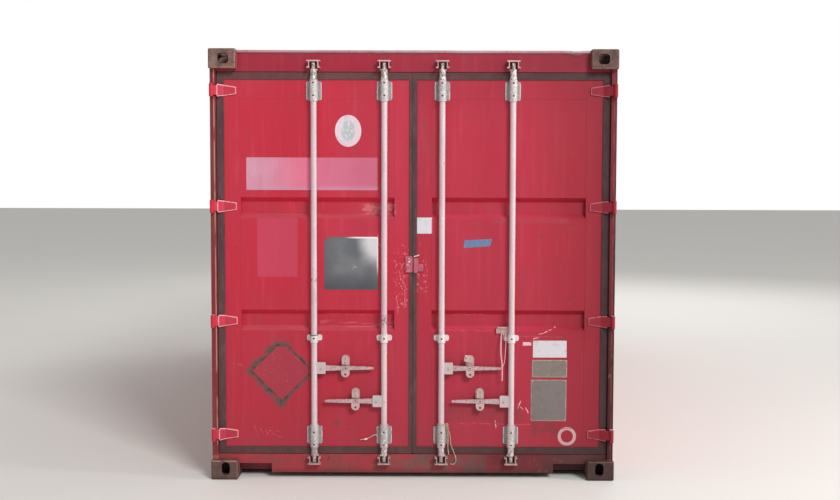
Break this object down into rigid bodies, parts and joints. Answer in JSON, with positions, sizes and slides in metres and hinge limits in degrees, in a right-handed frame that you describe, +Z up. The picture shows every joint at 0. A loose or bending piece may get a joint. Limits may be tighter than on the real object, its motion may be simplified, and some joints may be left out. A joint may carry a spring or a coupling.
{
  "type": "shipping container",
  "caption": "Steel dry freight box with corner castings, folded sheet walls and roof, plywood floor and a pair of hinged end doors with lock rods, handles and catches.",
  "frame": {"origin": "centre of the base, level with the bottom fittings' lower faces", "axes": "+Z up, +Y along the length from the doors to the closed front, +X to the right for someone who faces the doors"},
  "size_m": [2.438, 6.058, 2.591],
  "materials": {
    "frame_paint": "faded matt paint",
    "door_paint": "faded matt paint",
    "wall_paint": "faded matt paint",
    "rusty_casting": "rusty",
    "galvanised": "dull zinc",
    "rubber": "matt",
    "timber": "worn plywood",
    "hemp": "weathered rope"
  },
  "bodies": {
    "container": {"corner_fittings_bottom": "rusty_casting", "corner_fittings_top": "rusty_casting", "rear_posts": "frame_paint", "hinge_lugs": "frame_paint", "front_posts": "frame_paint", "door_header": "frame_paint", "door_sill": "frame_paint", "front_top_rail": "frame_paint", "front_bottom_rail": "frame_paint", "roof_side_rails": "frame_paint", "bottom_side_rails": "frame_paint", "left_side_wall": "wall_paint", "right_side_wall": "wall_paint", "front_wall": "wall_paint", "roof_panel": "wall_paint", "wall_vents": "wall_paint", "floor_boards": "timber", "cross_members": "frame_paint", "fork_pockets": "frame_paint", "header_keepers": "galvanised", "sill_keepers": "galvanised"},
    "left_door": {"left_door_frame": "door_paint", "left_door_panel": "door_paint", "left_door_gasket": "rubber", "left_door_hinges": "door_paint", "left_door_brackets": "galvanised", "left_door_retainers": "galvanised"},
    "right_door": {"right_door_frame": "door_paint", "right_door_panel": "door_paint", "right_door_gasket": "rubber", "right_door_hinges": "door_paint", "right_door_brackets": "galvanised", "right_door_retainers": "galvanised", "rope_knot": "hemp", "rope_long_end": "hemp", "rope_short_end": "hemp"},
    "left_outer_rod": {"left_outer_rod": "galvanised"},
    "left_outer_handle": {"left_outer_handle": "galvanised"},
    "left_outer_catch": {"left_outer_catch": "galvanised"},
    "left_inner_rod": {"left_inner_rod": "galvanised"},
    "left_inner_handle": {"left_inner_handle": "galvanised"},
    "left_inner_catch": {"left_inner_catch": "galvanised"},
    "right_inner_rod": {"right_inner_rod": "galvanised"},
    "right_inner_handle": {"right_inner_handle": "galvanised"},
    "right_inner_catch": {"right_inner_catch": "galvanised"},
    "right_outer_rod": {"right_outer_rod": "galvanised"},
    "right_outer_handle": {"right_outer_handle": "galvanised"},
    "right_outer_catch": {"right_outer_catch": "galvanised"}
  },
  "joints": [
    {"name": "left_door_hinge", "type": "hinge", "parent": "container", "child": "left_door", "pos_m": [-1.203, -3.016, 1.3085], "axis": [0, 0, -1], "range_deg": [0, 265]},
    {"name": "right_door_hinge", "type": "hinge", "parent": "container", "child": "right_door", "pos_m": [1.203, -3.016, 1.3085], "axis": [0, 0, 1], "range_deg": [0, 265]},
    {"name": "left_outer_rod_turn", "type": "hinge", "parent": "left_door", "child": "left_outer_rod", "pos_m": [-0.595, -2.999, 1.3], "axis": [0, 0, 1], "range_deg": [-110, 0]},
    {"name": "left_outer_handle_lift", "type": "hinge", "parent": "left_outer_rod", "child": "left_outer_handle", "pos_m": [-0.55, -2.999, 0.68], "axis": [0, 1, 0], "range_deg": [-12, 0]},
    {"name": "left_outer_catch_swing", "type": "hinge", "parent": "left_door", "child": "left_outer_catch", "pos_m": [-0.407, -3.0125, 0.739], "axis": [0, -1, 0], "range_deg": [-100, 0]},
    {"name": "left_inner_rod_turn", "type": "hinge", "parent": "left_door", "child": "left_inner_rod", "pos_m": [-0.173, -2.999, 1.3], "axis": [0, 0, -1], "range_deg": [-110, 0]},
    {"name": "left_inner_handle_lift", "type": "hinge", "parent": "left_inner_rod", "child": "left_inner_handle", "pos_m": [-0.218, -2.999, 0.479], "axis": [0, -1, 0], "range_deg": [-12, 0]},
    {"name": "left_inner_catch_swing", "type": "hinge", "parent": "left_door", "child": "left_inner_catch", "pos_m": [-0.346, -3.0125, 0.538], "axis": [0, 1, 0], "range_deg": [-100, 0]},
    {"name": "right_inner_rod_turn", "type": "hinge", "parent": "right_door", "child": "right_inner_rod", "pos_m": [0.173, -2.999, 1.3], "axis": [0, 0, 1], "range_deg": [-110, 0]},
    {"name": "right_inner_handle_lift", "type": "hinge", "parent": "right_inner_rod", "child": "right_inner_handle", "pos_m": [0.218, -2.999, 0.68], "axis": [0, 1, 0], "range_deg": [-12, 0]},
    {"name": "right_inner_catch_swing", "type": "hinge", "parent": "right_door", "child": "right_inner_catch", "pos_m": [0.346, -3.0125, 0.739], "axis": [0, -1, 0], "range_deg": [0, 100]},
    {"name": "right_outer_rod_turn", "type": "hinge", "parent": "right_door", "child": "right_outer_rod", "pos_m": [0.595, -2.999, 1.3], "axis": [0, 0, -1], "range_deg": [-110, 0]},
    {"name": "right_outer_handle_lift", "type": "hinge", "parent": "right_outer_rod", "child": "right_outer_handle", "pos_m": [0.55, -2.999, 0.479], "axis": [0, -1, 0], "range_deg": [-12, 0]},
    {"name": "right_outer_catch_swing", "type": "hinge", "parent": "right_door", "child": "right_outer_catch", "pos_m": [0.407, -3.0125, 0.538], "axis": [0, 1, 0], "range_deg": [-100, 0]}
  ]
}
